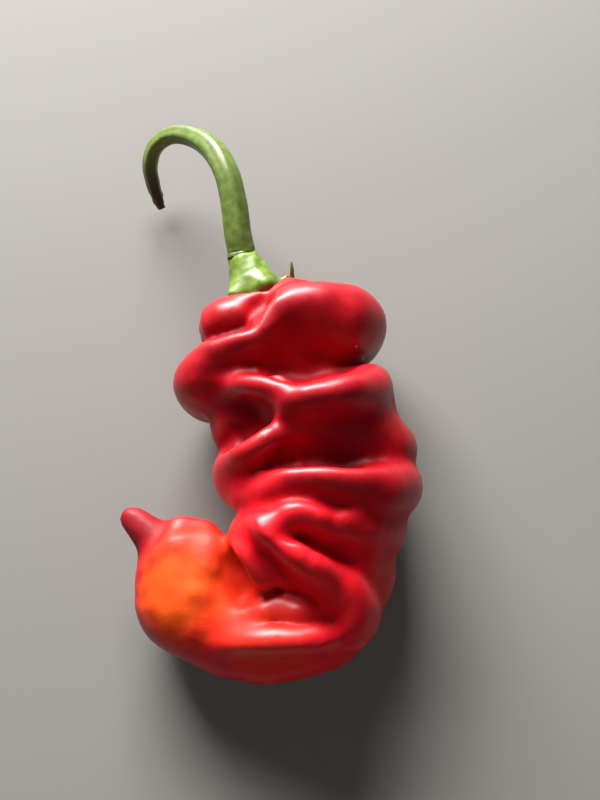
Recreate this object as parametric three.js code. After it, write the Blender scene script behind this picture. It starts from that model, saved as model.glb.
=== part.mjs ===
// A wrinkled, hooked red chilli pepper as picked, lying on its side. Millimetres, +Z up.
// The origin is on the surface that the pepper lies on, under the middle of its bounding box.
// +Y runs from the curled tip of the fruit to the hook of the stem, and the tip curls towards -X.

import * as THREE from "three";

// Driving dimensions.
const skinStep = 1.35; // spacing of the faces on the fruit's skin
const calyxStep = 0.65; // and on the calyx
const stemGap = 0.3; // clearance between the calyx and the stem
const seatGap = 0.55; // and between the fruit and the calyx
const stemSides = 15;
const stemRings = 42;
const stemRibs = 5;
const ribHeight = 0.06; // as a share of the stem's radius

// How finely the skins are worked out.
const sampleSpacing = 1.2; // between the places that stand for a roll's curve
const evenRounds = 5; // of evening out the faces
const slopeReach = 0.05; // to each side where a field's slope is measured
const leastSteepness = 0.2; // taken for a slope near a crease
const leastInside = 0.1; // how deep a filled grid point counts, as a share of a step
const podSpace = [[-24, -43, -2.5], [24, 22, 28.5]]; // low and high corners of the space round each skin
const calyxSpace = [[-11, 11, 5], [8, 27, 22]];

// The fruit's flesh, as rolls: round tubes of changing radius along smooth curves, melted into each other.
// Each point is [x, y, z, radius], and melt is how widely a roll runs into what is drawn before it.
const core = {
  melt: 0,
  height: 0.86, // its thickness as a share of its width
  points: [
    [-1.5, 11.5, 12, 6],
    [1.5, 9, 12, 8],
    [4, 3, 12, 8.8],
    [5.5, -4, 12, 9.6],
    [7, -11, 12, 9.6],
    [8.5, -18, 11.2, 8.8],
    [9.5, -24.5, 10.2, 8],
    [7, -30.5, 9.2, 8],
    [1, -33, 9, 7.6],
    [-5.5, -32.5, 9, 7.6],
    [-11, -29, 9, 7.2],
    [-13, -24.5, 9, 6.6],
  ],
};
const rolls = [
  // The right shoulder with the ridge along its upper side.
  {
    melt: 1.6,
    points: [
      [0, 10.5, 14.6, 4.6], [4.5, 10.8, 15.4, 5.4], [9, 11.2, 15, 5.6], [11.7, 12.2, 13, 5.4],
      [11.5, 11.5, 7.5, 5], [7, 10, 5, 5], [0, 10, 4.8, 4.6], [-5, 10, 7, 4.4],
    ],
  },
  {
    melt: 3,
    points: [
      [10.4, 12.6, 17, 3.4], [5.4, 12.8, 18.8, 3.2], [1.6, 12, 19.6, 2.8], [-0.4, 9.8, 19.8, 2.6],
    ],
  },
  { melt: 3, points: [[1.4, 9.4, 17.2, 3.2], [5.6, 10.2, 17, 3.8], [10, 10.8, 15.4, 4]] },
  // The two smaller shoulders on the left of it.
  {
    melt: 1,
    points: [
      [-4.5, 10.5, 7.5, 4], [-7.2, 11.2, 11, 4], [-6.4, 12, 14.8, 3.9], [-4, 13, 16, 3.3],
    ],
  },
  {
    melt: 1,
    points: [
      [-1.8, 14.3, 16, 3], [1.8, 15.2, 15.4, 3.1], [6, 15.2, 13, 3.4], [6, 14.5, 8, 3.6],
      [0, 13.5, 6, 3.4],
    ],
  },
  // The long roll that hangs out to the left under them.
  {
    melt: 1,
    points: [
      [0.4, 10.6, 20, 2.4], [-0.9, 9.2, 20.3, 2.4], [-2.2, 7.4, 20, 2.4], [-4.8, 6.4, 18.8, 2.9],
      [-7.8, 5.2, 16.5, 3.6], [-10.6, 3.3, 12.2, 4.5], [-9.8, 2.6, 7.4, 4.4], [-5, 2.8, 4.2, 4.2],
      [2, 3, 3.8, 4.1], [9, 3.5, 4.2, 4.2],
    ],
  },
  { melt: 2.5, points: [[-8, 3.6, 13.5, 3.6], [-3.6, 4.6, 16, 3.8], [1.4, 6.4, 16, 4]] },
  // The second fold: a broad face below a ridge that dips and rises again.
  {
    melt: 3,
    points: [
      [-3.6, -3.4, 12.4, 5.8], [4, -5, 15, 6.2], [11, -4.8, 14.4, 6.2], [13.5, -1.4, 12, 5],
    ],
  },
  {
    melt: 1.4,
    points: [
      [-6.6, 0, 14, 2.6], [-4, 0.3, 18.4, 2.6], [-0.8, 0.2, 21, 2.4], [1.4, -1, 21.9, 2.4],
      [3.2, -2.8, 22, 2.8], [5.8, -2.3, 22.4, 3], [9.2, -1.6, 21.8, 3.2], [12.2, -0.6, 19.8, 3.4],
      [13.8, 1.2, 16.4, 3.7], [13.8, 1.6, 11.6, 3.8], [11.6, 0.5, 6.5, 3.8],
    ],
  },
  { melt: 3, points: [[2.6, -5.4, 18.6, 3.2], [7, -4.8, 18.8, 3.6], [12, -3.8, 16.4, 4]] },
  // The bulge on the right below it.
  {
    melt: 2,
    points: [
      [12.5, -7, 16, 3.6], [16.6, -7, 13, 4.4], [16.8, -6.4, 8.4, 4.4], [12, -5, 4.4, 4.2],
      [4, -4.5, 3.8, 4.1], [-3, -4, 4.6, 4],
    ],
  },
  // The short slanting fold on the left and the bulge below it.
  {
    melt: 1.4,
    points: [
      [3.6, -6.9, 20.6, 2.2], [-0.2, -8.2, 20.2, 2.6], [-3.6, -9.8, 17.4, 3.2], [-5.2, -10.6, 13.2, 3.6],
      [-4.4, -10, 7, 4.2], [2, -12, 4.2, 4.2],
    ],
  },
  { melt: 1.8, points: [[-4.2, -12.8, 12.6, 3.6], [-2.4, -14.2, 16.2, 3.4], [0.6, -14.8, 18.2, 3]] },
  // The third fold.
  {
    melt: 1.2,
    points: [
      [-0.8, -15, 18.4, 2.8], [1.6, -14.5, 20.8, 3], [5.5, -14, 21.6, 3.2], [10.2, -14.2, 21, 3.5],
      [14.8, -14.2, 18.2, 4.1], [17.3, -13.2, 13.6, 4.6], [17, -12, 8.4, 4.5], [12.5, -12, 4, 4.3],
      [5, -13.5, 3.9, 4.1], [-1, -14, 6, 3.8],
    ],
  },
  { melt: 2.5, points: [[0.4, -16.8, 17.6, 2.6], [5.6, -16.4, 18.8, 2.8], [11, -16.6, 18, 3.2]] },
  // The fourth fold, and the long arm of the V that starts with it at the left.
  {
    melt: 1,
    points: [
      [-2.8, -19.4, 14.5, 2.8], [-1, -19.8, 18.6, 2.7], [1.6, -19.2, 21.2, 2.4], [4.8, -18.9, 21.6, 2.3],
      [7.2, -19.7, 21, 2.1], [10.3, -19.6, 20, 2.4], [13.8, -19.4, 16.4, 3.4], [15.6, -18.6, 11, 4.4],
      [12, -17.5, 5.2, 4], [5, -18, 4, 3.8], [-0.5, -18.5, 6.5, 3.6],
    ],
  },
  { melt: 2.5, points: [[2.4, -21, 17.2, 2.2], [6.4, -22.4, 16.6, 3], [11, -24, 15, 4]] },
  {
    melt: 1.2,
    points: [
      [-2.6, -20, 14, 3], [-0.6, -20.6, 19, 2.6], [1.6, -22.8, 20, 2.2], [4.8, -25.2, 19.6, 2.2],
      [8.4, -27.4, 18.2, 2.6], [11.4, -29.8, 15.6, 3.3], [11.8, -31.8, 13, 3.6], [10, -33.6, 12, 3.4],
    ],
  },
  {
    melt: 3,
    points: [
      [-2.2, -22, 14, 3.4], [-0.2, -23.6, 16.2, 3.2], [3.2, -26.4, 16, 3.2], [8, -28.8, 14.2, 3.6],
    ],
  },
  // The bottom of the hook: a thin ridge on its upper side, and the lumpy slope inside it.
  {
    melt: 1.6,
    points: [
      [-5.8, -35.2, 13.4, 2], [-1, -35.5, 15.4, 1.9], [4, -35.3, 15.8, 1.9], [8.4, -34.4, 14.8, 2.2],
      [11, -32.5, 13, 2.8],
    ],
  },
  {
    melt: 1.4,
    points: [
      [-4, -31.8, 13, 2.2], [-1, -32, 14, 2.3], [2, -32.4, 13.2, 2], [4.8, -32.2, 14, 2.3],
      [8, -32, 13, 2.2],
    ],
  },
  {
    melt: 1.5,
    points: [
      [11, -22.5, 13, 4.4], [13.2, -25.5, 9, 4.4], [10.5, -26, 3.9, 4.2], [4, -25, 4.4, 3.8],
    ],
  },
  // The folds round the back of the hook.
  {
    melt: 1.6,
    points: [
      [8.4, -34.4, 10, 3.2], [8.4, -34.8, 7, 3.4], [8, -32.5, 3.8, 3.4], [6, -28.5, 3.6, 3.4],
    ],
  },
  {
    melt: 1.6,
    points: [
      [-1.5, -37.2, 10, 3], [-2, -36.6, 5.6, 3.2], [-2, -32, 3.4, 3.4], [-1.5, -27, 5, 3.4],
    ],
  },
  // The flesh inside the hook and the ridge that runs down it.
  { melt: 2, points: [[-6.5, -24.5, 8, 3.6], [-2.5, -26, 9, 4], [3, -27.5, 9, 4.6], [8, -28, 9.5, 5]] },
  {
    melt: 1,
    points: [
      [-5.4, -22.6, 11, 2.4], [-3.8, -24.6, 13.4, 2.4], [-1.8, -27.6, 14, 2.4], [-1, -29.6, 12.6, 2.2],
    ],
  },
  // The swollen end and the small swellings on it.
  { melt: 2, points: [[-12.4, -24.4, 8.8, 6.8], [-12.2, -28.6, 7.7, 8]] },
  { melt: 1.6, points: [[-13.4, -19, 11, 2.2], [-13.8, -21.4, 12.6, 2.4]] },
  { melt: 1.6, points: [[-10.2, -19.6, 11, 2.2], [-9.2, -22, 13, 2.4], [-9.4, -24.6, 14, 2.2]] },
  // The pointed tail.
  {
    melt: 1.2,
    points: [
      [-14.5, -23, 9.6, 3.6], [-16.4, -21, 9.6, 3.2], [-18.4, -19.2, 9.8, 2.7], [-20, -17.7, 10, 2.2],
      [-20.8, -17.1, 10, 1.9],
    ],
  },
];
// The hollow pressed into the flesh inside the hook.
const hollows = [
  { melt: 1.5, points: [[2, -28.2, 15.6, 1.6], [5.6, -29.2, 15.4, 2.2]] },
];

// The calyx: a neck that widens from the stem, five lobes over the shoulders, and the one tooth that
// still stands up.
const calyxRolls = [
  {
    melt: 0.8,
    points: [
      [-5, 23.6, 13.9, 2], [-4.4, 21.6, 13.8, 2.6], [-3.6, 19.6, 13.5, 3.2], [-2.8, 17.2, 13.1, 3.9],
    ],
  },
  { melt: 1.2, points: [[-2.8, 18, 13.2, 2.6], [0.6, 17.8, 12.6, 1.8], [3.4, 17.8, 11.8, 1.1]] },
  { melt: 1.2, points: [[-2.8, 18, 13.2, 2.6], [-1.8, 17.8, 15.4, 1.7], [-1.2, 17.3, 16.8, 1.1]] },
  { melt: 1.2, points: [[-2.8, 18, 13.2, 2.6], [-5, 16.8, 14.6, 1.7], [-6, 16, 15.6, 1]] },
  { melt: 1.2, points: [[-2.8, 18, 13.2, 2.6], [-5.4, 16.4, 11, 1.8], [-6.6, 15, 9.6, 1.1]] },
  { melt: 1.2, points: [[-2.8, 18, 13.2, 2.6], [-0.6, 17.4, 10.2, 1.9], [0.8, 17, 8.4, 1.1]] },
  { melt: 0.6, points: [[2.8, 18.2, 12.2, 0.9], [2.9, 19.8, 13.2, 0.6], [2.6, 21.2, 14.2, 0.5]] },
];

// The stem: a tube from the calyx to its dry end, which hangs just above the surface.
const stemPoints = [
  [-5.1, 23.5, 14, 2],
  [-5.6, 26, 14.9, 2.05],
  [-6.3, 31, 16, 2],
  [-7.4, 35.4, 16.5, 1.95],
  [-9.6, 39.9, 15.5, 1.85],
  [-12.8, 43.2, 13.5, 1.6],
  [-16.4, 44.9, 11, 1.4],
  [-19.4, 44.3, 8.5, 1.35],
  [-20.6, 42, 6.5, 1.3],
  [-20.3, 39.6, 4.8, 1.1],
  [-19.6, 37.4, 3.4, 0.8],
  [-18.9, 36, 2.4, 0.55],
];

function curveThrough(points) {
  const places = points.map(([x, y, z]) => new THREE.Vector3(x, y, z));
  return new THREE.CatmullRomCurve3(places, false, "centripetal");
}

// The radius at share t of the way along a roll or the stem.
function radiusAt(points, t) {
  const along = t * (points.length - 1);
  const before = Math.min(Math.floor(along), points.length - 2);
  return THREE.MathUtils.lerp(points[before][3], points[before + 1][3], along - before);
}

// Places along a roll, close enough together to stand for its curve, and the box round them.
function shapeOf({ melt, points }) {
  const curve = curveThrough(points);
  const count = Math.ceil(curve.getLength() / sampleSpacing);
  const samples = Array.from({ length: count + 1 }, (_, i) => {
    const t = i / count;
    return [...curve.getPoint(t).toArray(), radiusAt(points, t)];
  });
  const low = [0, 1, 2].map((axis) => Math.min(...samples.map((sample) => sample[axis] - sample[3])));
  const high = [0, 1, 2].map((axis) => Math.max(...samples.map((sample) => sample[axis] + sample[3])));
  return { melt, samples, low, high };
}

// The distance from a place to a chain of round samples, negative inside it. A height under 1 flattens
// the chain.
function distanceTo(samples, x, y, z, height = 1) {
  let nearest = Infinity;
  for (let i = 1; i < samples.length; i++) {
    const [ax, ay, az, ar] = samples[i - 1];
    const [bx, by, bz, br] = samples[i];
    const [ux, uy, uz] = [bx - ax, by - ay, (bz - az) / height];
    const [px, py, pz] = [x - ax, y - ay, (z - az) / height];
    const lengthSquared = ux * ux + uy * uy + uz * uz;
    const share = THREE.MathUtils.clamp((px * ux + py * uy + pz * uz) / lengthSquared, 0, 1);
    const away = Math.hypot(px - share * ux, py - share * uy, pz - share * uz);
    nearest = Math.min(nearest, (away - ar - share * (br - ar)) * height);
  }
  return nearest;
}

// The least distance from a place to the box round a roll, 0 inside it.
function boxDistance({ low, high }, x, y, z) {
  const apart = [x, y, z].map((value, axis) => Math.max(low[axis] - value, 0, value - high[axis]));
  return Math.hypot(...apart);
}

// The distance to two shapes run into each other over the width that melt gives.
function melted(a, b, melt) {
  const overlap = Math.max(melt - Math.abs(a - b), 0);
  return Math.min(a, b) - (overlap * overlap) / (4 * melt);
}

function joined(shapes, start, x, y, z) {
  let distance = start;
  for (const shape of shapes) {
    if (boxDistance(shape, x, y, z) > distance + shape.melt) continue;
    distance = melted(distance, distanceTo(shape.samples, x, y, z), shape.melt);
  }
  return distance;
}

const coreShape = shapeOf(core);
const rollShapes = rolls.map(shapeOf);
const hollowShapes = hollows.map(shapeOf);
const calyxShapes = calyxRolls.map(shapeOf);
const stemCurve = curveThrough(stemPoints);
const stemFoot = stemCurve.getPoint(0);
const stemRise = stemCurve.getTangent(0);

// How far a place is from the calyx, negative inside. It ends in a flat face at the foot of the stem.
function calyxField(x, y, z) {
  const beyondFoot = new THREE.Vector3(x, y, z).sub(stemFoot).dot(stemRise) + stemGap;
  return Math.max(joined(calyxShapes, Infinity, x, y, z), beyondFoot);
}

// How far a place is from the fruit, negative inside. It has a seat pressed in for the calyx.
function fleshField(x, y, z) {
  const trunk = distanceTo(coreShape.samples, x, y, z, core.height);
  const folded = joined(rollShapes, trunk, x, y, z);
  const hollowed = -joined(hollowShapes, -folded, x, y, z);
  return Math.max(hollowed, seatGap - joined(calyxShapes, Infinity, x, y, z));
}

// The values of a field on a grid. Gaps that the folds close off inside the flesh are filled: a grid
// point that can't be reached from the first one, out in the open, counts as inside.
function filledGrid(field, low, size, stride, step) {
  const values = new Float32Array(stride[2] * size[2]);
  for (let n = 0; n < values.length; n++) {
    const [i, j, k] = [n % size[0], Math.floor(n / stride[1]) % size[1], Math.floor(n / stride[2])];
    values[n] = field(low[0] + i * step, low[1] + j * step, low[2] + k * step);
  }
  const open = new Uint8Array(values.length);
  const queue = [0];
  while (queue.length) {
    const n = queue.pop();
    for (const next of stride.flatMap((move) => [n - move, n + move])) {
      if (!(values[next] >= 0) || open[next]) continue;
      open[next] = 1;
      queue.push(next);
    }
  }
  return values.map((value, n) => (open[n] ? value : Math.min(value, -leastInside * step)));
}

// Where the inside of the grid would touch itself only across the corner of a cell's face, the point
// beside that corner is counted as inside too, so that the skin never pinches to a line.
function fillPinches(values, stride, step) {
  const faces = [[stride[0], stride[1]], [stride[1], stride[2]], [stride[2], stride[0]]];
  let pinched = true;
  while (pinched) {
    pinched = false;
    for (let n = 0; n < values.length; n++)
      for (const [u, v] of faces) {
        const face = [n, n + u, n + u + v, n + v];
        const [a, b, c, d] = face.map((corner) => values[corner] < 0);
        if (a !== c || b !== d || a === b) continue;
        const [one, other] = a ? [face[1], face[3]] : [face[0], face[2]];
        values[values[one] < values[other] ? one : other] = -leastInside * step;
        pinched = true;
      }
  }
}

// Wraps one closed skin round the places where a field is negative: a vertex in each grid cell that the skin
// crosses, and two triangles across each grid edge that it cuts.
function wrapSkin(field, low, high, step) {
  const size = low.map((value, axis) => Math.ceil((high[axis] - value) / step) + 1);
  const stride = [1, size[0], size[0] * size[1]];
  const values = filledGrid(field, low, size, stride, step);
  fillPinches(values, stride, step);
  const corners = Array.from({ length: 8 }, (_, c) => [c & 1, (c >> 1) & 1, c >> 2]);
  const cornerSteps = corners.map((corner) => corner.reduce((sum, c, axis) => sum + c * stride[axis], 0));
  const edges = corners.flatMap((_, c) => [1, 2, 4].filter((bit) => !(c & bit)).map((bit) => [c, c | bit]));
  const vertexOf = new Int32Array(values.length).fill(-1);
  const places = [];
  for (let n = 0; n + stride[2] + stride[1] < values.length; n++) {
    const cuts = edges
      .filter(([a, b]) => values[n + cornerSteps[a]] < 0 !== values[n + cornerSteps[b]] < 0)
      .map(([a, b]) => {
        const [va, vb] = [values[n + cornerSteps[a]], values[n + cornerSteps[b]]];
        return corners[a].map((c, axis) => THREE.MathUtils.lerp(c, corners[b][axis], va / (va - vb)));
      });
    if (!cuts.length) continue;
    const cell = [n % size[0], Math.floor(n / stride[1]) % size[1], Math.floor(n / stride[2])];
    vertexOf[n] = places.length;
    places.push(cell.map((c, axis) => {
      const within = cuts.reduce((sum, cut) => sum + cut[axis], 0) / cuts.length;
      return low[axis] + step * (c + within);
    }));
  }

  const span = (p, q) => Math.hypot(...places[p].map((value, axis) => value - places[q][axis]));
  const triangles = [];
  for (let axis = 0; axis < 3; axis++) {
    const [u, v] = [stride[(axis + 1) % 3], stride[(axis + 2) % 3]];
    for (let n = u + v; n + stride[axis] < values.length; n++) {
      const inside = values[n] < 0;
      if (inside === values[n + stride[axis]] < 0) continue;
      const ring = [n - u - v, n - v, n, n - u].map((cell) => vertexOf[cell]);
      const [a, b, c, d] = inside ? ring : ring.reverse();
      if (span(a, c) < span(b, d)) triangles.push([a, b, c], [a, c, d]);
      else triangles.push([a, b, d], [b, c, d]);
    }
  }
  return { places, triangles };
}

// Moves a place along the field's slope onto the skin.
function pulledToSkin(field, place) {
  const distance = field(...place);
  const slope = place.map((_, axis) => {
    const [behind, ahead] = [-1, 1].map((side) =>
      field(...place.map((value, other) => (other === axis ? value + side * slopeReach : value))));
    return (ahead - behind) / (2 * slopeReach);
  });
  const steepness = Math.max(slope.reduce((sum, value) => sum + value * value, 0), leastSteepness);
  return place.map((value, axis) => value - (distance * slope[axis]) / steepness);
}

// Evens out the faces: each vertex goes to the middle of its neighbours and then back onto the skin.
function evenOut({ places, triangles }, field) {
  const neighbours = places.map(() => new Set());
  for (const [a, b, c] of triangles) {
    neighbours[a].add(b).add(c);
    neighbours[b].add(a).add(c);
    neighbours[c].add(a).add(b);
  }
  for (let round = 0; round < evenRounds; round++) {
    const middles = places.map((place, n) => place.map((_, axis) => {
      const around = [...neighbours[n]];
      return around.reduce((sum, m) => sum + places[m][axis], 0) / around.length;
    }));
    middles.forEach((middle, n) => {
      places[n] = pulledToSkin(field, pulledToSkin(field, middle));
    });
  }
}

function meshOf(name, places, triangles, look) {
  const geometry = new THREE.BufferGeometry()
    .setAttribute("position", new THREE.Float32BufferAttribute(places.flat(), 3))
    .setIndex(triangles.flat());
  const mesh = new THREE.Mesh(geometry, new THREE.MeshStandardMaterial(look));
  mesh.name = name;
  return mesh;
}

// One closed mesh round a field, pressed flat where it meets the surface that the pepper lies on.
function skinMesh(name, field, [low, high], step, look) {
  const skin = wrapSkin(field, low, high, step);
  evenOut(skin, field);
  const rested = skin.places.map(([x, y, z]) => [x, y, Math.max(z, 0)]);
  return meshOf(name, rested, skin.triangles, look);
}

// A closed tube along the stem's curve, with soft ribs and a flat face at each end.
function stemMesh(name, look) {
  const { normals, binormals } = stemCurve.computeFrenetFrames(stemRings, false);
  const places = [];
  for (let ring = 0; ring <= stemRings; ring++) {
    const t = stemCurve.getUtoTmapping(ring / stemRings);
    for (let side = 0; side < stemSides; side++) {
      const turn = (2 * Math.PI * side) / stemSides;
      const reach = radiusAt(stemPoints, t) * (1 + ribHeight * Math.cos(stemRibs * turn));
      places.push(stemCurve.getPoint(t)
        .addScaledVector(normals[ring], reach * Math.cos(turn))
        .addScaledVector(binormals[ring], reach * Math.sin(turn))
        .toArray());
    }
  }
  const triangles = [];
  for (let ring = 0; ring < stemRings; ring++)
    for (let side = 0; side < stemSides; side++) {
      const a = ring * stemSides + side;
      const b = ring * stemSides + ((side + 1) % stemSides);
      triangles.push([a, b, b + stemSides], [a, b + stemSides, a + stemSides]);
    }
  const last = stemRings * stemSides;
  for (let side = 1; side < stemSides - 1; side++)
    triangles.push([0, side + 1, side], [last, last + side, last + side + 1]);
  return meshOf(name, places, triangles, look);
}

const chilli = new THREE.Group();
chilli.add(
  skinMesh("pod", fleshField, podSpace, skinStep, { color: 0xb3121a, roughness: 0.35, metalness: 0 }),
  skinMesh("calyx", calyxField, calyxSpace, calyxStep, { color: 0xa9c05a, roughness: 0.45, metalness: 0 }),
  stemMesh("stem", { color: 0x6f8a35, roughness: 0.55, metalness: 0 }),
);

// The group moves sideways so that the middle of the whole pepper is over the origin.
const middle = new THREE.Box3().setFromObject(chilli).getCenter(new THREE.Vector3());
chilli.position.set(-middle.x, -middle.y, 0);
export default chilli;
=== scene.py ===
import math

import bmesh
import bpy
import numpy as np
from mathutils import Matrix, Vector, noise


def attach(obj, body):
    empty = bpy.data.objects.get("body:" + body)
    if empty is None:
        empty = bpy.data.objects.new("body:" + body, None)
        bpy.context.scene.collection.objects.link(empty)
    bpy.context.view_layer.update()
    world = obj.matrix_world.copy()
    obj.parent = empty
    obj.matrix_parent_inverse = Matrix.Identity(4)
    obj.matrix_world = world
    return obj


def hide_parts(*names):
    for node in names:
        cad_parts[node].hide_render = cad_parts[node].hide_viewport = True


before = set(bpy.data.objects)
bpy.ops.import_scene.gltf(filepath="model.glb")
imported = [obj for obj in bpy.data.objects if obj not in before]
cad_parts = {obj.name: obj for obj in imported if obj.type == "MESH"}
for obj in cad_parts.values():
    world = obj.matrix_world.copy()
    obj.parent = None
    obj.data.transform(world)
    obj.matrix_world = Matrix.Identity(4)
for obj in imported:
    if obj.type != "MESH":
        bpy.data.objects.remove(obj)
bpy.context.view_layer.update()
mm = 0.001

# The photograph's view. Lines drawn on the fruit are in its pixels, 600 wide and 800 high.
view = {
    "width": 600,
    "height": 800,
    "target": (4.29, -2.23, 12.0),  # mm
    "distance": 170.0,  # mm
    "elevation": 75.0,
    "lens": 51.0,
    "sensor": 36.0,
    "nearest": 0.01,  # m
}

tube = {
    "firstSide": (0.3, 0.2, 1.0),  # any direction that isn't along a tube
    "steps": 4,  # rings between points
    "sides": 20,
    "tip": 0.8,  # how far the point at an end stands out, as a share of the radius
}

drawnLine = {
    "steps": 6,  # between points
    "fade": 0.25,  # share of a ridge over which it sets in at each end
    "slopedFade": 0.35,  # and of a slope or a crease
    "least": 0.1,  # share of its height that is left at the very ends
}


def photoPlaces(places):  # where each place shows in the photograph
    tilt = math.radians(view["elevation"])
    focal = view["lens"] / view["sensor"] * view["height"]
    right, up, toward = (places / mm - view["target"]).T
    rise = up * math.sin(tilt) + toward * math.cos(tilt)
    depth = view["distance"] + up * math.cos(tilt) - toward * math.sin(tilt)
    across = view["width"] / 2 + right * focal / depth
    down = view["height"] / 2 - rise * focal / depth
    return np.stack([across, down], axis=1)


def smoothLine(points, steps):  # places along a smooth curve through the points
    points = np.array(points, float)
    ends = np.vstack([2 * points[0] - points[1], points, 2 * points[-1] - points[-2]])
    made = []
    for a, b, c, d in zip(ends, ends[1:], ends[2:], ends[3:]):
        for t in np.arange(steps) / steps:
            made.append(b + 0.5 * t * (c - a + t * (2 * a - 5 * b + 4 * c - d + t * (3 * (b - c) + d - a))))
    return np.array(made + [points[-1]])


def ringPlaces(line, sides):  # the middle, outward directions and radius of each ring along a line
    side = np.array(tube["firstSide"])
    turns = np.arange(sides) * 2 * math.pi / sides
    rings = []
    for n, (x, y, z, radius) in enumerate(line):
        ahead = line[min(n + 1, len(line) - 1), :3] - line[max(n - 1, 0), :3]
        ahead /= np.linalg.norm(ahead)
        side = side - ahead * (side @ ahead)
        side /= np.linalg.norm(side)
        other = np.cross(ahead, side)
        outward = np.outer(np.cos(turns), side) + np.outer(np.sin(turns), other)
        rings.append((np.array((x, y, z)), outward, radius))
    return rings


def addTube(mesh, points):  # flesh added to a mesh before it is remeshed: a tube with a point at each end
    line = smoothLine(points, tube["steps"])
    shape = bmesh.new()
    shape.from_mesh(mesh)
    rings = []
    for middle, outward, radius in ringPlaces(line, tube["sides"]):
        rings.append([shape.verts.new((middle + radius * way) * mm) for way in outward])
    for ring, following in zip(rings, rings[1:]):
        for n in range(len(ring)):
            shape.faces.new((ring[n], ring[n - 1], following[n - 1], following[n]))
    first = (rings[0], line[0], line[1], False)
    last = (rings[-1], line[-1], line[-2], True)
    for ring, end, before, turned in (first, last):
        beyond = end[:3] - before[:3]
        tip = shape.verts.new((end[:3] + beyond / np.linalg.norm(beyond) * end[3] * tube["tip"]) * mm)
        for n in range(len(ring)):
            pair = (ring[n - 1], ring[n]) if turned else (ring[n], ring[n - 1])
            shape.faces.new((*pair, tip))
    shape.to_mesh(mesh)
    shape.free()


def remesh(piece, voxel):  # one closed skin of even quads, voxel mm wide
    again = piece.modifiers.new("remesh", "REMESH")
    again.mode = "VOXEL"
    again.voxel_size = voxel * mm
    mesh = bpy.data.meshes.new_from_object(piece.evaluated_get(bpy.context.evaluated_depsgraph_get()))
    piece.modifiers.clear()
    piece.data = mesh
    mesh.name = piece.name


def evenMesh(name, node, settings):  # a fine even copy of a CAD node with tubes added to it
    piece = bpy.data.objects.new(name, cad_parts[node].data.copy())
    piece.data.materials.clear()
    bpy.context.scene.collection.objects.link(piece)
    weld = piece.modifiers.new("weld", "WELD")
    weld.merge_threshold = settings["weld"] * mm
    for points in settings["added"].values():
        addTube(piece.data, points)
    remesh(piece, settings["voxel"])
    return piece


def placesOf(mesh):
    places = np.empty(len(mesh.vertices) * 3)
    mesh.vertices.foreach_get("co", places)
    return places.reshape(-1, 3)


def setPlaces(mesh, places):
    mesh.vertices.foreach_set("co", places.ravel())
    mesh.update()


def normalsOf(mesh):
    normals = np.empty(len(mesh.vertices) * 3)
    mesh.vertex_normals.foreach_get("vector", normals)
    return normals.reshape(-1, 3)


def setAttribute(mesh, name, values):
    mesh.attributes.new(name, "FLOAT", "POINT").data.foreach_set("value", values)


def relaxed(mesh, places, rounds, out=0.0):
    # Each round moves places half way to the middle of their neighbours, and then out again by a share.
    pairs = np.empty(len(mesh.edges) * 2, int)
    mesh.edges.foreach_get("vertices", pairs)
    a, b = pairs.reshape(-1, 2).T
    both = np.concatenate([a, b])
    others = np.concatenate([b, a])
    count = np.bincount(both, minlength=len(places))[:, None]
    for _ in range(rounds):
        for share in (0.5, -out):
            if share == 0:
                continue
            sums = [np.bincount(both, column[others], len(places)) for column in places.T]
            places = places + share * (np.stack(sums, axis=1) / count - places)
    return places


def bumps(places, size, stretch=(1, 1, 1), seed=0.0):  # soft noise from -1 to 1, its lumps this size in mm
    scaled = places / (size * mm) * np.array(stretch) + seed
    return np.array([noise.noise(Vector(place)) for place in scaled])


def eased(value, low, high):
    share = np.clip((value - low) / (high - low), 0, 1)
    return share * share * (3 - 2 * share)


def lineOffset(spots, line, above, below, sloped):
    # How strongly a drawn line acts at each spot, fading over these many pixels on each side and at its ends.
    # A sloped line has a straight ramp on its upper side.
    line = smoothLine(line, drawnLine["steps"])
    best = np.full(len(spots), np.inf)
    side = np.zeros(len(spots))
    along = np.zeros(len(spots))
    for n, (a, b) in enumerate(zip(line, line[1:])):
        step = b - a
        share = np.clip((spots - a) @ step / (step @ step), 0, 1)
        away = spots - a - share[:, None] * step
        distance = np.hypot(away[:, 0], away[:, 1])
        nearer = distance < best
        best[nearer] = distance[nearer]
        side[nearer] = (step[0] * away[:, 1] - step[1] * away[:, 0])[nearer]
        along[nearer] = ((n + share) / (len(line) - 1))[nearer]
    width = np.where(side < 0, above, below)
    length = drawnLine["slopedFade"] if sloped else drawnLine["fade"]
    fade = eased(along, 0, length) * eased(1 - along, 0, length)
    shape = np.exp(-(best / width) ** 2)
    if sloped:
        ramp = np.clip(1 - best / above, 0, 1)
        shape = np.where(side < 0, ramp, shape)
    return shape * (drawnLine["least"] + (1 - drawnLine["least"]) * fade)


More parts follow.
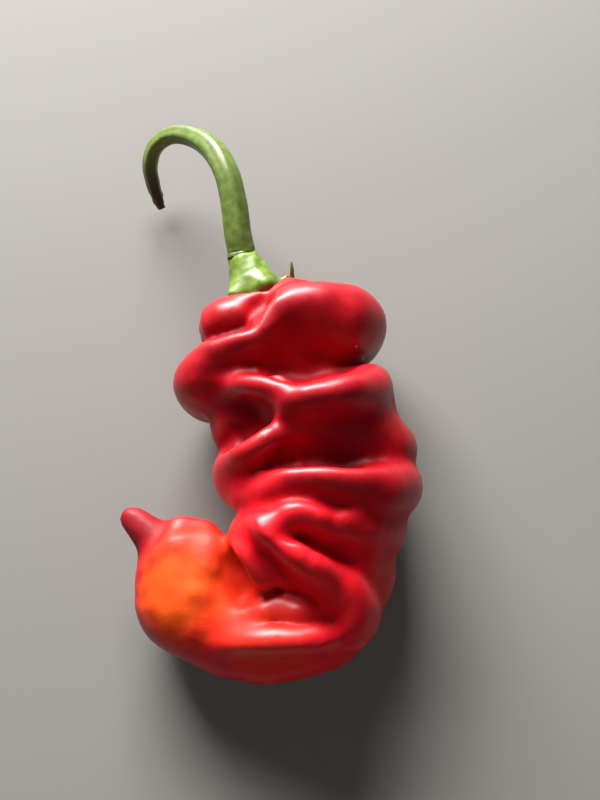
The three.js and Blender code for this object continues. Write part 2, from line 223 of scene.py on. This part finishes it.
# Fruit skin. Added tubes are points of x, y, z and radius in mm. Ridges, slopes and creases are
# (height in mm, pixels above, pixels below, points from left to right).
podSkin = {
    "voxel": 0.36,  # mm
    "weld": 0.001,  # mm
    "relax": (14, 0.51),  # rounds, and the share that places move out again
    "added": {
        "hollowFloor": [(1, -30.2, 12.6, 2.8), (4.2, -31, 13.2, 3.1), (8, -31.6, 13.2, 3)],
        "slopeFoot": [
            (-4.2, -34.2, 13.6, 2.2),
            (0, -33.2, 14.6, 2.3),
            (4, -33, 15.5, 2.6),
            (9, -32.8, 15.2, 2.5),
        ],
        "longArm": [(2, -23.2, 18.8, 3), (6, -25, 18.3, 3.1), (10.4, -27.2, 16.2, 3)],
        "armEnd": [
            (7.6, -27.8, 17.6, 2.8),
            (10.4, -30.4, 17, 3.2),
            (11.4, -33.6, 15, 3.6),
            (10.4, -36.6, 12.6, 3.8),
        ],
        "leftSide": [(-3, -6, 8.8, 4), (-3, -7, 6.4, 4), (-3, -7.6, 3.8, 3.7)],
        "leftShoulder": [(-8.8, 8.4, 14.6, 3.4), (-5.8, 8.8, 16, 3.6), (-2.6, 9.6, 16, 3.2)],
        "lobeFoot": [(-13.4, -31.8, 10, 4.9), (-10.6, -34.2, 10, 5.4), (-6.6, -35.2, 10.2, 5.2)],
    },
    "ridges": {
        "rightShoulder": (0.6, 9, 20, [(268, 305), (277, 299), (295, 294), (320, 291), (348, 290)]),
        "backShoulder": (0.3, 5, 7, [(262, 291), (272, 283), (288, 279), (302, 281)]),
        "leftShoulder": (0.4, 10, 12, [(208, 316), (222, 310), (236, 307), (248, 306)]),
        "leftRoll": (0.6, 5, 12, [(192, 353), (210, 344), (226, 338), (242, 334), (258, 330)]),
        "secondLeft": (0.4, 8, 12, [(226, 380), (245, 377), (262, 376), (284, 378)]),
        "secondKink": (0.5, 8, 9, [(276, 377), (286, 386), (297, 397)]),
        "secondRight": (0.9, 10, 14, [(290, 396), (306, 393), (325, 390), (350, 386), (378, 379)]),
        "pocketEdge": (0.15, 9, 9, [(290, 394), (285, 410), (281, 428)]),
        "shortFold": (1.1, 8, 14, [(222, 462), (240, 451), (257, 442), (270, 433), (284, 427)]),
        "third": (0.8, 8, 13, [(266, 480), (288, 472), (312, 469), (340, 471), (368, 474), (396, 478)]),
        "fourthLeft": (1.0, 12, 12, [(272, 515), (290, 509), (308, 509), (324, 515), (338, 520)]),
        "fourthRight": (0.6, 6, 9, [(332, 520), (350, 516), (370, 512)]),
        "longArm": (2.0, 11, 13, [(246, 528), (262, 526), (279, 543), (300, 556), (322, 569), (348, 584)]),
        "inner": (1.8, 8, 7, [(228, 540), (245, 550), (255, 563), (262, 578), (272, 592)]),
        "lobeCheek": (0.6, 13, 13, [(184, 594), (200, 592), (216, 588)]),
        "lumpLeft": (0.6, 9, 9, [(262, 602), (265, 611), (264, 620)]),
        "lumpRight": (0.5, 9, 9, [(292, 606), (300, 611), (312, 615)]),
    },
    "slopes": {  # these rise in a ramp to the line, and fall off below it
        "insideHook": (1.9, 38, 9, [(214, 645), (246, 643), (280, 642), (308, 641), (332, 636), (362, 620)]),
    },
    "creases": {  # these sink in a ramp down to the line, and a steep wall stands below it
        "shoulders": (1.6, 8, 4, [(252, 326), (255, 314), (260, 303), (268, 297), (286, 292)]),
        "underShoulder": (0.6, 7, 4, [(194, 344), (212, 336), (230, 330), (248, 326), (258, 318)]),
        "underLeftRoll": (1.2, 34, 6, [(200, 376), (228, 370), (250, 367), (274, 368)]),
        "underSecond": (2.4, 68, 9, [(250, 366), (280, 369), (305, 371), (325, 367), (366, 360)]),
        "overShort": (2.6, 52, 5, [(206, 452), (232, 440), (256, 425), (274, 408)]),
        "underShort": (1.2, 12, 7, [(258, 464), (276, 456), (292, 444)]),
        "overThird": (2.0, 60, 9, [(268, 466), (296, 459), (322, 457), (354, 459), (400, 462)]),
        "overFourth": (0.8, 24, 7, [(256, 505), (280, 498), (302, 496), (320, 500), (344, 504), (376, 502)]),
        "overArm": (0.5, 22, 5, [(284, 524), (300, 537), (320, 550), (342, 560), (368, 574)]),
        "besideLip": (1.3, 18, 7, [(248, 536), (264, 554), (274, 570), (286, 586), (306, 594)]),
        "hollow": (0.4, 12, 10, [(284, 586), (300, 592), (322, 598)]),
        "besideInner": (0.8, 8, 8, [(236, 560), (245, 578), (254, 598)]),
        "besideLobe": (2.2, 16, 8, [(228, 545), (235, 568), (239, 592), (238, 610)]),
        "lobeTop": (0.5, 8, 6, [(164, 533), (178, 527), (194, 523), (208, 530)]),
        "tail": (0.5, 8, 6, [(148, 549), (156, 539), (162, 528), (166, 518)]),
    },
    "facing": (-0.1, 0.35),  # how far up the skin faces where the lines set in
    "soften": 8,  # rounds of evening out what the lines do
    "limit": 4.0,  # the most that the lines move a place, mm
    "lumps": [  # height in mm, size in mm, stretch across and along the folds
        (0.14, 6.0, (0.7, 1.2, 1.0)),
        (0.035, 2.6, (0.6, 1.4, 1.0)),
        (0.012, 1.0, (1.0, 1.0, 1.0)),
    ],
    "lumpSeed": 7.3,  # from one kind of lumps to the next
    "lobe": (-12.0, -29.3, 10.0),  # the middle of the curled end, mm
    "lobeReach": (6, 11),  # where its facets start to fade, and where they end, mm
    "lobeFacets": (0.11, 3.6, 3.1),  # height in mm, size in mm and seed
    "rested": 1.5,  # height over which all this sets in above the lowest place, mm
    "afterDrawing": (3, 0.45),  # rounds and share out
    "afterRemesh": (12, 0.44),
    "foldRounds": 60,  # of evening out, for the broad shape that folds are deep or high against
}


def drawnFolds(mesh, places, facing):  # how far the drawn lines move each place, mm
    spots = photoPlaces(places)
    drawn = np.zeros(len(places))
    for height, above, below, line in podSkin["ridges"].values():
        drawn += height * lineOffset(spots, line, above, below, False)
    for height, above, below, line in podSkin["slopes"].values():
        drawn += height * lineOffset(spots, line, above, below, True)
    for depth, above, below, line in podSkin["creases"].values():
        drawn -= depth * lineOffset(spots, line, above, below, True)
    drawn = relaxed(mesh, drawn[:, None], podSkin["soften"])[:, 0]
    return np.clip(drawn, -podSkin["limit"], podSkin["limit"]) * eased(facing, *podSkin["facing"])


def grownLumps(places):  # the soft lumps of the skin and the facets of the curled end, mm
    lumps = np.zeros(len(places))
    for n, (height, size, stretch) in enumerate(podSkin["lumps"]):
        lumps += height * bumps(places, size, stretch, n * podSkin["lumpSeed"])
    height, size, seed = podSkin["lobeFacets"]
    fromLobe = np.linalg.norm(places / mm - podSkin["lobe"], axis=1)
    onLobe = 1 - eased(fromLobe, *podSkin["lobeReach"])
    return lumps + onLobe * height * (0.5 - 2 * np.abs(bumps(places, size, seed=seed)))


def makePod():
    piece = evenMesh("podSkin", "pod", podSkin)
    mesh = piece.data
    places = relaxed(mesh, placesOf(mesh), *podSkin["relax"])
    setPlaces(mesh, places)
    normals = normalsOf(mesh)
    move = drawnFolds(mesh, places, normals[:, 2]) + grownLumps(places)
    low = places[:, 2].min()
    move = move * mm * eased(places[:, 2], low, low + podSkin["rested"] * mm)
    setPlaces(mesh, relaxed(mesh, places + normals * move[:, None], *podSkin["afterDrawing"]))
    remesh(piece, podSkin["voxel"])
    mesh = piece.data
    places = relaxed(mesh, placesOf(mesh), *podSkin["afterRemesh"])
    places[:, 2] = np.maximum(places[:, 2], 0)
    setPlaces(mesh, places)
    broad = relaxed(mesh, places, podSkin["foldRounds"])
    fold = np.einsum("ij,ij->i", broad - places, normalsOf(mesh)) / mm
    setAttribute(mesh, "foldDepth", fold)
    print("pod skin:", len(mesh.vertices), "vertices")
    print("fold depth:", fold.min().round(2), "to", fold.max().round(2), "mm")
    return piece


# Calyx.
calyxCap = {
    "voxel": 0.17,  # mm
    "weld": 0.001,  # mm
    "relax": (14, 0.51),  # rounds and share out
    "added": {},
    "toothFoot": (3.1, 15.6, 12.3),  # mm
    "toothTip": (2.9, 18.5, 14.2),
    "toothStart": (0.05, 0.4),  # shares of its length over which the changes to it set in
    "toothReach": (1.2, 1.8),  # distances from its middle over which they fade, mm
    "toothKeep": 0.5,  # share of its thickness that the tooth keeps
    "toothLonger": 0.6,  # share of its length that is added
    "axis": (-2.9, 15.0, 13.0),  # where the ribs meet, mm
    "ribs": 9,
    "ribHeight": 0.07,  # mm
    "ribStart": (1, 4),  # distances from the axis over which they set in, mm
    "lumps": (0.05, 1.6, 5.0),  # height in mm, size in mm and seed
}


def makeCalyx():
    piece = evenMesh("calyxCap", "calyx", calyxCap)
    mesh = piece.data
    places = relaxed(mesh, placesOf(mesh), *calyxCap["relax"])
    foot, tip = (np.array(calyxCap[end]) * mm for end in ("toothFoot", "toothTip"))
    reach = tip - foot
    share = (places - foot) @ reach / (reach @ reach)
    away = places - foot - share[:, None] * reach
    distance = np.linalg.norm(away, axis=1) / mm
    onTooth = eased(share, *calyxCap["toothStart"]) * (1 - eased(distance, *calyxCap["toothReach"]))
    places = places - away * (onTooth * (1 - calyxCap["toothKeep"]))[:, None]
    places = places + reach * (onTooth * share * calyxCap["toothLonger"])[:, None]
    setPlaces(mesh, places)
    across, along, up = (places / mm - calyxCap["axis"]).T
    turn = np.arctan2(up, across)
    ribs = calyxCap["ribHeight"] * np.cos(calyxCap["ribs"] * turn)
    ribs = ribs * eased(np.hypot(across, along), *calyxCap["ribStart"])
    height, size, seed = calyxCap["lumps"]
    move = ribs * (1 - onTooth) + height * bumps(places, size, seed=seed)
    setPlaces(mesh, places + normalsOf(mesh) * (move * mm)[:, None])
    setAttribute(mesh, "tooth", onTooth)
    print("calyx cap:", len(mesh.vertices), "vertices")
    return piece


# Stem. Points are x, y, z and radius in mm, from the calyx to the dry end.
stemSkin = {
    "points": [
        (-4.72, 19.6, 13.9, 2.15),
        (-4.81, 20.8, 14.05, 2.1),
        (-5.31, 23.3, 14.9, 2.08),
        (-6.01, 28.3, 16, 2.0),
        (-7.11, 32.7, 16.5, 1.95),
        (-9.31, 37.2, 15.5, 1.85),
        (-12.51, 40.5, 13.5, 1.6),
        (-16.11, 42.2, 11, 1.4),
        (-19.11, 41.6, 8.5, 1.32),
        (-20.31, 39.3, 6.5, 1.25),
        (-20.01, 36.9, 4.8, 1.1),
        (-19.31, 34.7, 3.4, 0.85),
        (-18.61, 33.3, 2.4, 0.55),
    ],
    "steps": 16,  # rings between points
    "sides": 40,
    "ribs": 5,
    "ribHeight": 0.06,  # share of the radius
    "ribTurn": 0.4,  # radians
    "lumps": 0.03,  # share of the radius
    "lumpsRound": 2.2,  # how close the lumps are round the stem
    "lumpsTilted": 0.9,  # how far they change over its thickness
    "lumpsAlong": 26,  # how close they are along it
    "dryFrom": 0.78,  # share of the length
    "dryLumps": 0.3,  # share of the radius
    "dryRibs": 2,  # how much higher the ribs get
    "dryHollow": 0.25,  # share of the last step by which the dry end is sunk
}


def stemReach(share, corner, way):  # how far out the stem's skin is, as a share of its radius
    dry = eased(share, stemSkin["dryFrom"], 1)
    turn = 2 * math.pi * corner / stemSkin["sides"]
    rib = stemSkin["ribHeight"] * (1 + stemSkin["dryRibs"] * dry)
    rib = rib * math.cos(stemSkin["ribs"] * turn + stemSkin["ribTurn"])
    aroundX = stemSkin["lumpsRound"] * way[0]
    aroundY = stemSkin["lumpsRound"] * way[1] + stemSkin["lumpsTilted"] * way[2]
    lump = noise.noise(Vector((aroundX, aroundY, share * stemSkin["lumpsAlong"])))
    return 1 + rib + (stemSkin["lumps"] + stemSkin["dryLumps"] * dry) * lump


def makeStem():
    line = smoothLine(stemSkin["points"], stemSkin["steps"])
    sides = stemSkin["sides"]
    rings = len(line)
    places = []
    shares = []
    faces = []
    for ring, (middle, outward, radius) in enumerate(ringPlaces(line, sides)):
        share = ring / (rings - 1)
        for corner, way in enumerate(outward):
            places.append(middle + way * radius * stemReach(share, corner, way))
            shares.append(share)
    for ring in range(rings - 1):
        for corner in range(sides):
            a = ring * sides + corner
            b = ring * sides + (corner + 1) % sides
            faces.append((a, b, b + sides, a + sides))
    foot = line[0, :3]
    dryEnd = line[-1, :3] + (line[-2, :3] - line[-1, :3]) * stemSkin["dryHollow"]
    for ring, place, turned in ((0, foot, True), (rings - 1, dryEnd, False)):
        middle = len(places)
        places.append(place)
        shares.append(ring / (rings - 1))
        for corner in range(sides):
            a = ring * sides + corner
            b = ring * sides + (corner + 1) % sides
            faces.append((b, a, middle) if turned else (a, b, middle))
    mesh = bpy.data.meshes.new("stemSkin")
    mesh.from_pydata([tuple(place * mm) for place in places], [], faces)
    setAttribute(mesh, "along", shares)
    mesh.update()
    piece = bpy.data.objects.new("stemSkin", mesh)
    bpy.context.scene.collection.objects.link(piece)
    print("stem:", len(mesh.vertices), "vertices")
    return piece


# Materials. Colours are linear.
def group(name, inputs, outputs):
    tree = bpy.data.node_groups.new(name, "ShaderNodeTree")
    for socket, kind, value in inputs:
        made = tree.interface.new_socket(socket, in_out="INPUT", socket_type=kind)
        if value is not None:
            made.default_value = value
    for socket, kind in outputs:
        tree.interface.new_socket(socket, in_out="OUTPUT", socket_type=kind)
    return tree, tree.nodes.new("NodeGroupInput").outputs, tree.nodes.new("NodeGroupOutput").inputs


def setOrLink(tree, socket, value):
    if isinstance(value, bpy.types.NodeSocket):
        tree.links.new(value, socket)
    else:
        socket.default_value = value


def add(tree, kind, settings=None, **inputs):  # a node with its settings, and its inputs by name
    node = tree.nodes.new(kind)
    for name, value in (settings or {}).items():
        setattr(node, name, value)
    for name, value in inputs.items():
        setOrLink(tree, node.inputs[name], value)
    return node


def worked(tree, operation, *values):  # the result of one sum
    node = add(tree, "ShaderNodeMath", {"operation": operation})
    for socket, value in zip(node.inputs, values):
        setOrLink(tree, socket, value)
    return node.outputs[0]


def blendColour(tree, share, first, second):
    node = add(tree, "ShaderNodeMix", {"data_type": "RGBA"})
    for socket, value in ((node.inputs[0], share), (node.inputs[6], first), (node.inputs[7], second)):
        setOrLink(tree, socket, value)
    return node.outputs[2]


def rangeOf(tree, value, low, high, outLow=0.0, outHigh=1.0):
    node = add(tree, "ShaderNodeMapRange", {"interpolation_type": "SMOOTHSTEP"}, Value=value)
    for name, number in (("From Min", low), ("From Max", high), ("To Min", outLow), ("To Max", outHigh)):
        node.inputs[name].default_value = number
    return node.outputs["Result"]


zoneLook = {
    "cloud": {"Scale": 260.0, "Detail": 3.0},  # this makes the edge uneven
    "edge": (1.0, 0.35),  # shares of the reach where the mask starts, and where it is full
}


def makeZone():  # 1 near a place, fading to 0 at its reach, with an uneven edge
    tree, given, result = group(
        "zone",
        [
            ("Place", "NodeSocketVector", None),
            ("Centre", "NodeSocketVector", None),
            ("Reach", "NodeSocketFloat", 0.01),
            ("Uneven", "NodeSocketFloat", 0.2),
        ],
        [("Mask", "NodeSocketFloat")],
    )
    away = add(tree, "ShaderNodeVectorMath", {"operation": "DISTANCE"})
    tree.links.new(given["Place"], away.inputs[0])
    tree.links.new(given["Centre"], away.inputs[1])
    cloud = add(tree, "ShaderNodeTexNoise", Vector=given["Place"], **zoneLook["cloud"])
    shift = worked(tree, "SUBTRACT", cloud.outputs["Fac"], 0.5)
    spread = worked(tree, "MULTIPLY", shift, given["Uneven"])
    share = worked(tree, "DIVIDE", away.outputs["Value"], given["Reach"])
    total = worked(tree, "ADD", share, spread)
    tree.links.new(rangeOf(tree, total, *zoneLook["edge"]), result["Mask"])
    return tree


grainLook = {
    "cellHeight": 0.5,  # beside the mottle's height of 1
    "mottleDetail": 4.0,
    "strength": 0.5,
}


def makeSkinGrain():  # fine waxy skin: a height for Bump and a mottle mask
    tree, given, result = group(
        "skinGrain",
        [
            ("Place", "NodeSocketVector", None),
            ("Cells", "NodeSocketFloat", 4000.0),
            ("Mottle Scale", "NodeSocketFloat", 500.0),
        ],
        [("Height", "NodeSocketFloat"), ("Mottle", "NodeSocketFloat")],
    )
    place = given["Place"]
    cells = add(tree, "ShaderNodeTexVoronoi", {"feature": "SMOOTH_F1"}, Vector=place, Scale=given["Cells"])
    detail = grainLook["mottleDetail"]
    cloud = add(tree, "ShaderNodeTexNoise", Vector=place, Scale=given["Mottle Scale"], Detail=detail)
    raised = worked(tree, "MULTIPLY", cells.outputs["Distance"], grainLook["cellHeight"])
    tree.links.new(worked(tree, "ADD", raised, cloud.outputs["Fac"]), result["Height"])
    tree.links.new(cloud.outputs["Fac"], result["Mottle"])
    return tree


zone = makeZone()
skinGrain = makeSkinGrain()

flesh = {  # how light glows through
    "radius": (1.0, 0.25, 0.15),
    "scale": 0.0012,
}


def newMaterial(name, specular=0.35, roughness=0.45, coat=0.0, coatRoughness=0.3, glow=0.0):
    material = bpy.data.materials.new(name)
    material.use_nodes = True
    tree = material.node_tree
    shader = tree.nodes["Principled BSDF"]
    shader.inputs["Roughness"].default_value = roughness
    shader.inputs["Specular IOR Level"].default_value = specular
    shader.inputs["Coat Weight"].default_value = coat
    shader.inputs["Coat Roughness"].default_value = coatRoughness
    shader.inputs["Subsurface Weight"].default_value = glow
    shader.inputs["Subsurface Radius"].default_value = flesh["radius"]
    shader.inputs["Subsurface Scale"].default_value = flesh["scale"]
    return material, tree, shader


def placeOn(tree):
    return tree.nodes.new("ShaderNodeTexCoord").outputs["Object"]


def attributeOf(tree, name):
    return add(tree, "ShaderNodeAttribute", {"attribute_name": name}).outputs["Fac"]


def zoneMask(tree, place, centre, reach, uneven):  # centre and reach in mm
    node = add(tree, "ShaderNodeGroup", {"node_tree": zone}, Place=place, Reach=reach * mm, Uneven=uneven)
    node.inputs["Centre"].default_value = [value * mm for value in centre]
    return node.outputs["Mask"]


def grained(tree, shader, place, cells, mottle, height):  # height in mm
    node = add(tree, "ShaderNodeGroup", {"node_tree": skinGrain}, Place=place, Cells=cells)
    node.inputs["Mottle Scale"].default_value = mottle
    strength = grainLook["strength"]
    bump = add(tree, "ShaderNodeBump", Height=node.outputs["Height"], Strength=strength, Distance=height * mm)
    tree.links.new(bump.outputs["Normal"], shader.inputs["Normal"])
    return node.outputs["Mottle"]


# In each look, the grain is its cells' scale, its mottle's scale and its height in mm. A range is from, to
# and, where they aren't 0 and 1, the values there. Zones are (middle in mm, reach in mm, unevenness, colour).
podLook = {
    "finish": {"specular": 0.14, "coatRoughness": 0.42, "glow": 0.03},
    "grain": (2600.0, 420.0, 0.05),
    "deepRed": (0.29, 0.001, 0.006, 1),
    "red": (0.37, 0.0015, 0.007, 1),
    "redMottle": (0.35, 0.7),
    # painted shade: the skin is darkened toward this dark red in the folds' hollows, by fold depth
    "paintedFoldShade": (0.09, 0.0, 0.003, 1),
    "foldShade": (0.05, 0.8, 0.0, 0.9),
    "underFolds": {  # zones that the painted shade of the folds goes over
        # painted light: a brighter red over the lower end that lifts its shaded faces
        "paintedLightLowerEnd": ((3.0, -31.0, 14.0), 23.0, 0.3, (0.66, 0.004, 0.012, 1)),
        # painted shade: dark red zones over the second face and the pocket under the left roll
        "paintedShadeSecondFace": ((10.0, -9.2, 18.0), 7.0, 0.3, (0.16, 0.0007, 0.005, 1)),
        "paintedShadePocket": ((-4.1, -5.1, 16.0), 5.0, 0.3, (0.16, 0.0007, 0.005, 1)),
        "slope": ((-0.5, -36.6, 15.0), 9.0, 0.5, (0.6, 0.021, 0.01, 1)),
    },
    "overFolds": {  # zones that go over the painted shade
        "lobe": ((-10.8, -29.4, 14.0), 12.0, 0.4, (0.66, 0.03, 0.006, 1)),
        "ripening": ((-13.4, -31.4, 15.0), 8.0, 1.0, (0.72, 0.07, 0.006, 1)),
        "tail": ((-20.0, -21.0, 10.0), 7.0, 0.4, (0.22, 0.005, 0.01, 1)),
        "scar": ((7.3, 15.2, 16.0), 2.2, 1.4, (0.24, 0.06, 0.012, 1)),
    },
    "fleck": (0.75, 0.3, 0.25, 1),
    "fleckCells": 240.0,
    "fleckSize": (0.09, 0.05),
    "fleckFrom": 0.95,  # cells with a chance above this have a fleck
    "skinRoughness": (0.3, 0.7, 0.38, 0.46),
    "foldRoughness": (0.05, 0.6, 0.0, 0.12),  # added in the folds
    "endRoughness": 0.22,  # added on the lobe and the tail
    "crests": (-0.3, 0.1, 0.66, 0.02),  # coat, by fold depth
    "endCoat": (0.0, 1.0, 1.0, 0.25),  # share of the coat that is kept on the lobe and the tail
}


def podMaterial():
    material, tree, shader = newMaterial("waxyRedSkin", **podLook["finish"])
    place = placeOn(tree)
    mottle = grained(tree, shader, place, *podLook["grain"])
    fold = attributeOf(tree, "foldDepth")
    masks = {}

    def tinted(colour, zones):  # the colour with each zone's own colour blended in
        for name, (centre, reach, uneven, zoneColour) in zones.items():
            masks[name] = zoneMask(tree, place, centre, reach, uneven)
            colour = blendColour(tree, masks[name], colour, zoneColour)
        return colour

    share = rangeOf(tree, mottle, *podLook["redMottle"])
    colour = blendColour(tree, share, podLook["deepRed"], podLook["red"])
    colour = tinted(colour, podLook["underFolds"])
    # painted shade: the folds' hollows are darkened by their depth
    colour = blendColour(tree, rangeOf(tree, fold, *podLook["foldShade"]), colour, podLook["paintedFoldShade"])
    colour = tinted(colour, podLook["overFolds"])
    cells = add(tree, "ShaderNodeTexVoronoi", Vector=place, Scale=podLook["fleckCells"])
    size = rangeOf(tree, cells.outputs["Distance"], *podLook["fleckSize"])
    chance = add(tree, "ShaderNodeSeparateColor", Color=cells.outputs["Color"]).outputs["Red"]
    fleck = worked(tree, "MULTIPLY", size, worked(tree, "GREATER_THAN", chance, podLook["fleckFrom"]))
    colour = blendColour(tree, fleck, colour, podLook["fleck"])
    tree.links.new(colour, shader.inputs["Base Color"])

    end = worked(tree, "MAXIMUM", masks["lobe"], masks["tail"])
    skin = rangeOf(tree, mottle, *podLook["skinRoughness"])
    rougher = worked(tree, "MULTIPLY_ADD", end, podLook["endRoughness"], skin)
    roughness = worked(tree, "ADD", rougher, rangeOf(tree, fold, *podLook["foldRoughness"]))
    tree.links.new(roughness, shader.inputs["Roughness"])
    crest = rangeOf(tree, fold, *podLook["crests"])
    gloss = worked(tree, "MULTIPLY", crest, rangeOf(tree, end, *podLook["endCoat"]))
    tree.links.new(gloss, shader.inputs["Coat Weight"])
    return material


calyxLook = {
    "finish": {"roughness": 0.42, "coat": 0.15, "glow": 0.05},
    "grain": (3000.0, 700.0, 0.03),
    "green": (0.088, 0.15, 0.012, 1),
    "pale": (0.145, 0.22, 0.032, 1),
    "mottle": (0.35, 0.65),
    "neck": ((-5.0, 20.5, 13.5), 3.0, 0.4),
    "neckGreen": (0.115, 0.175, 0.018, 1),
    "tooth": (0.2, 0.8),
    "dry": (0.1, 0.07, 0.02, 1),
}


def calyxMaterial():
    material, tree, shader = newMaterial("paleCalyx", **calyxLook["finish"])
    place = placeOn(tree)
    mottle = grained(tree, shader, place, *calyxLook["grain"])
    share = rangeOf(tree, mottle, *calyxLook["mottle"])
    colour = blendColour(tree, share, calyxLook["green"], calyxLook["pale"])
    colour = blendColour(tree, zoneMask(tree, place, *calyxLook["neck"]), colour, calyxLook["neckGreen"])
    tooth = rangeOf(tree, attributeOf(tree, "tooth"), *calyxLook["tooth"])
    colour = blendColour(tree, tooth, colour, calyxLook["dry"])
    tree.links.new(colour, shader.inputs["Base Color"])
    return material


stemLook = {
    "finish": {"coat": 0.2, "coatRoughness": 0.25, "glow": 0.03},
    "grain": (2600.0, 900.0, 0.05),
    "green": (0.08, 0.125, 0.019, 1),
    "light": (0.12, 0.165, 0.033, 1),
    "mottle": (0.35, 0.65),
    "foot": (0.06, 0.09, 0.01, 1),
    "footLength": (0.12, 0.0),  # shares of the length
    "dry": (0.045, 0.034, 0.014, 1),
    "dryLength": (0.74, 0.93),
    "ragged": 0.12,  # how far the mottle shifts the dry end's edge
}


def stemMaterial():
    material, tree, shader = newMaterial("ribbedStem", **stemLook["finish"])
    mottle = grained(tree, shader, placeOn(tree), *stemLook["grain"])
    along = attributeOf(tree, "along")
    share = rangeOf(tree, mottle, *stemLook["mottle"])
    colour = blendColour(tree, share, stemLook["green"], stemLook["light"])
    colour = blendColour(tree, rangeOf(tree, along, *stemLook["footLength"]), colour, stemLook["foot"])
    ragged = worked(tree, "MULTIPLY_ADD", mottle, stemLook["ragged"], along)
    colour = blendColour(tree, rangeOf(tree, ragged, *stemLook["dryLength"]), colour, stemLook["dry"])
    tree.links.new(colour, shader.inputs["Base Color"])
    return material


def dress(piece, node, material):
    piece.data.materials.clear()
    piece.data.materials.append(material)
    piece.data.polygons.foreach_set("use_smooth", [True] * len(piece.data.polygons))
    piece.data.update()
    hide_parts(node)
    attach(piece, "root")
    print("dressed", piece.name)


dress(makePod(), "pod", podMaterial())
dress(makeCalyx(), "calyx", calyxMaterial())
dress(makeStem(), "stem", stemMaterial())

# Floor, light and camera, in metres.
studio = {
    "floorSize": 1.2,
    "floorRoughness": 0.75,
    "floorColour": (0.18, 0.17, 0.156, 1),
    "world": ((0.9, 0.95, 1.0, 1), 0.04),
    "backdrop": ((0.62, 0.6, 0.57, 1), 0.9),  # seen by the camera only
    "lampTarget": (0, 0, 0.01),
    "key": ((-0.12, 0.43, 0.235), (0.38, 0.26), 13.0),  # place, size and power
    "fill": ((0.04, -0.32, 0.3), (0.4, 0.4), 0.4),  # this one leaves no highlights
}


def makeFloor():
    bpy.ops.mesh.primitive_plane_add(size=studio["floorSize"])
    floor = bpy.context.object
    floor.name = "floor"
    material, _, shader = newMaterial("paleFloor", roughness=studio["floorRoughness"])
    shader.inputs["Base Color"].default_value = studio["floorColour"]
    floor.data.materials.append(material)


def makeLight(name):
    place, size, power = studio[name]
    light = bpy.data.lights.new(name, "AREA")
    light.shape = "RECTANGLE"
    light.size, light.size_y = size
    light.energy = power
    lamp = bpy.data.objects.new(name, light)
    lamp.location = place
    ahead = Vector(studio["lampTarget"]) - Vector(place)
    lamp.rotation_euler = ahead.to_track_quat("-Z", "Y").to_euler()
    lamp.visible_glossy = name == "key"
    bpy.context.scene.collection.objects.link(lamp)


def makeCamera():
    tilt = math.radians(view["elevation"])
    back = Vector((0, -math.cos(tilt), math.sin(tilt))) * view["distance"]
    lens = bpy.data.cameras.new("photoCamera")
    lens.lens = view["lens"]
    lens.sensor_width = view["sensor"]
    lens.clip_start = view["nearest"]
    camera = bpy.data.objects.new("photoCamera", lens)
    camera.location = (Vector(view["target"]) + back) * mm
    camera.rotation_euler = (math.pi / 2 - tilt, 0, 0)
    bpy.context.scene.collection.objects.link(camera)
    bpy.context.scene.camera = camera


def makeWorld():
    world = bpy.data.worlds.new("studio")
    bpy.context.scene.world = world
    world.use_nodes = True
    tree = world.node_tree
    sky = tree.nodes["Background"]
    sky.inputs["Color"].default_value, sky.inputs["Strength"].default_value = studio["world"]
    colour, strength = studio["backdrop"]
    backdrop = add(tree, "ShaderNodeBackground", Color=colour, Strength=strength)
    seen = tree.nodes.new("ShaderNodeLightPath").outputs["Is Camera Ray"]
    both = tree.nodes.new("ShaderNodeMixShader")
    for socket, value in zip(both.inputs, (seen, sky.outputs[0], backdrop.outputs[0])):
        tree.links.new(value, socket)
    tree.links.new(both.outputs[0], tree.nodes["World Output"].inputs["Surface"])


makeFloor()
makeLight("key")
makeLight("fill")
makeCamera()
makeWorld()
bpy.context.scene.view_settings.view_transform = "Standard"
print("studio ready")
